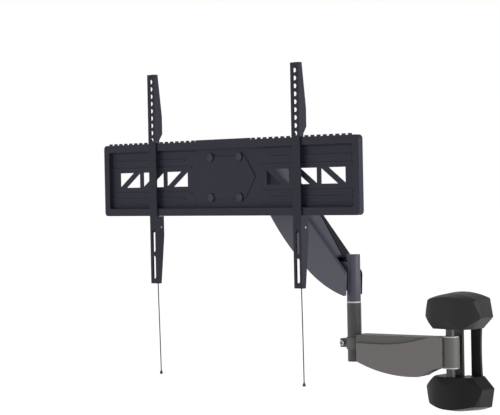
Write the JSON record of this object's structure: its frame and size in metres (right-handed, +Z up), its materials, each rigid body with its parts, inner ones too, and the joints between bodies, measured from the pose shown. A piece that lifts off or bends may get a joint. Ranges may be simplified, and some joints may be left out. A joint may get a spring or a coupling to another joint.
{
  "type": "full motion tv wall mount",
  "caption": "Wall bracket with swivel arm, gas-sprung lift arm and tilting plate with hooked rails and pull-cord latches, for hanging a flat screen.",
  "frame": {"origin": "centre of the wall plate's back face, at the centre of its four screw holes", "axes": "+Z up, +Y into the wall, +X to the right as seen from the room; the arms point to -X at rest"},
  "size_m": [0.8505, 0.2129, 0.667],
  "materials": {
    "dark_steel": "satin powder coat",
    "arm_grey": "satin powder coat",
    "slate_plastic": "satin moulded",
    "black_plastic": "fine texture",
    "gloss_black": "gloss",
    "zinc": "zinc plated",
    "nylon": "natural nylon",
    "rod_chrome": "hard chrome",
    "cord_black": "braided"
  },
  "bodies": {
    "wall_bracket": {"wall_plate": "dark_steel", "pivot_bracket": "dark_steel", "bracket_screws": "zinc", "wall_shaft": "zinc", "shaft_nut": "zinc", "shaft_spacers": "dark_steel", "upper_wall_cover": "black_plastic", "lower_wall_cover": "black_plastic"},
    "swivel_arm": {"lower_arm_beam": "arm_grey", "lower_arm_front_cover": "arm_grey", "lower_arm_rear_cover": "arm_grey", "lower_arm_cable_cover": "black_plastic", "knuckle_bushes": "nylon", "clamp_screw": "zinc", "clamp_nut": "zinc"},
    "post": {"elbow_post": "dark_steel", "post_cap": "black_plastic", "post_ring": "nylon"},
    "elbow": {"elbow_yoke": "dark_steel", "yoke_bush": "nylon", "yoke_pivot_pins": "zinc", "spring_anchor_pin": "zinc"},
    "lift_arm": {"upper_link": "dark_steel", "spring_end_pin": "zinc", "gas_cylinder": "gloss_black", "lift_arm_front_shell": "slate_plastic", "lift_arm_rear_shell": "slate_plastic", "lift_arm_cable_cover": "gloss_black"},
    "lower_lift_link": {"lower_link": "dark_steel"},
    "spring_rod": {"gas_rod": "rod_chrome"},
    "head": {"head_yoke": "dark_steel", "head_pivot_pins": "zinc", "head_bush": "nylon"},
    "fork": {"head_fork": "dark_steel", "head_swivel_pin": "zinc"},
    "tv_frame": {"tilt_bracket": "dark_steel", "tilt_bolt": "zinc", "tilt_nut": "zinc", "adapter_bolts": "zinc", "adapter_nuts": "zinc", "tv_plate": "dark_steel", "left_rail": "dark_steel", "right_rail": "dark_steel", "left_guide_pin": "zinc", "right_guide_pin": "zinc"},
    "left_release": {"left_latch": "black_plastic", "left_pull_cord": "cord_black", "left_cord_knob": "black_plastic"},
    "right_release": {"right_latch": "black_plastic", "right_pull_cord": "cord_black", "right_cord_knob": "black_plastic"}
  },
  "joints": [
    {"name": "wall_swivel", "type": "hinge", "parent": "wall_bracket", "child": "swivel_arm", "pos_m": [0, -0.047, 0], "axis": [0, 0, 1], "range_deg": [-9, 171]},
    {"name": "post_height", "type": "slide", "parent": "swivel_arm", "child": "post", "axis": [0, 0, 1], "range_m": [-0.04, 0.012]},
    {"name": "elbow_swivel", "type": "hinge", "parent": "post", "child": "elbow", "pos_m": [-0.20741, -0.07985, 0], "axis": [0, 0, -1], "range_deg": [-75, 120]},
    {"name": "lift", "type": "hinge", "parent": "elbow", "child": "lift_arm", "pos_m": [-0.228, -0.07985, 0.161], "axis": [0, 1, 0], "range_deg": [-93.5, 1.5]},
    {"name": "lower_link_pivot", "type": "hinge", "parent": "elbow", "child": "lower_lift_link", "pos_m": [-0.228, -0.07985, 0.123], "axis": [0, 1, 0], "range_deg": [-94, 2]},
    {"name": "spring_stroke", "type": "slide", "parent": "lift_arm", "child": "spring_rod", "axis": [-0.6373, 0, 0.7706], "range_m": [-0.001, 0.034]},
    {"name": "head_level", "type": "hinge", "parent": "lift_arm", "child": "head", "pos_m": [-0.40161, -0.07985, 0.35723], "axis": [0, 1, 0], "range_deg": [-2, 94]},
    {"name": "head_swivel", "type": "hinge", "parent": "head", "child": "fork", "pos_m": [-0.432, -0.07985, 0.339], "axis": [0, 0, 1], "range_deg": [-60, 20]},
    {"name": "tilt", "type": "hinge", "parent": "fork", "child": "tv_frame", "pos_m": [-0.432, -0.16, 0.339], "axis": [-1, 0, 0], "range_deg": [-12, 5]},
    {"name": "left_latch_pull", "type": "slide", "parent": "tv_frame", "child": "left_release", "axis": [0, 0, -1], "range_m": [0, 0.012], "stiffness_N_per_m": 500, "springref_m": -0.01},
    {"name": "right_latch_pull", "type": "slide", "parent": "tv_frame", "child": "right_release", "axis": [0, 0, -1], "range_m": [0, 0.012], "stiffness_N_per_m": 500, "springref_m": -0.01}
  ],
  "couplings": [
    {"joint": "lower_link_pivot", "follows": "lift", "ratio": 1},
    {"joint": "head_level", "follows": "lift", "ratio": -1},
    {"joint": "spring_stroke", "follows": "lift", "m_per_rad": -0.0177}
  ]
}
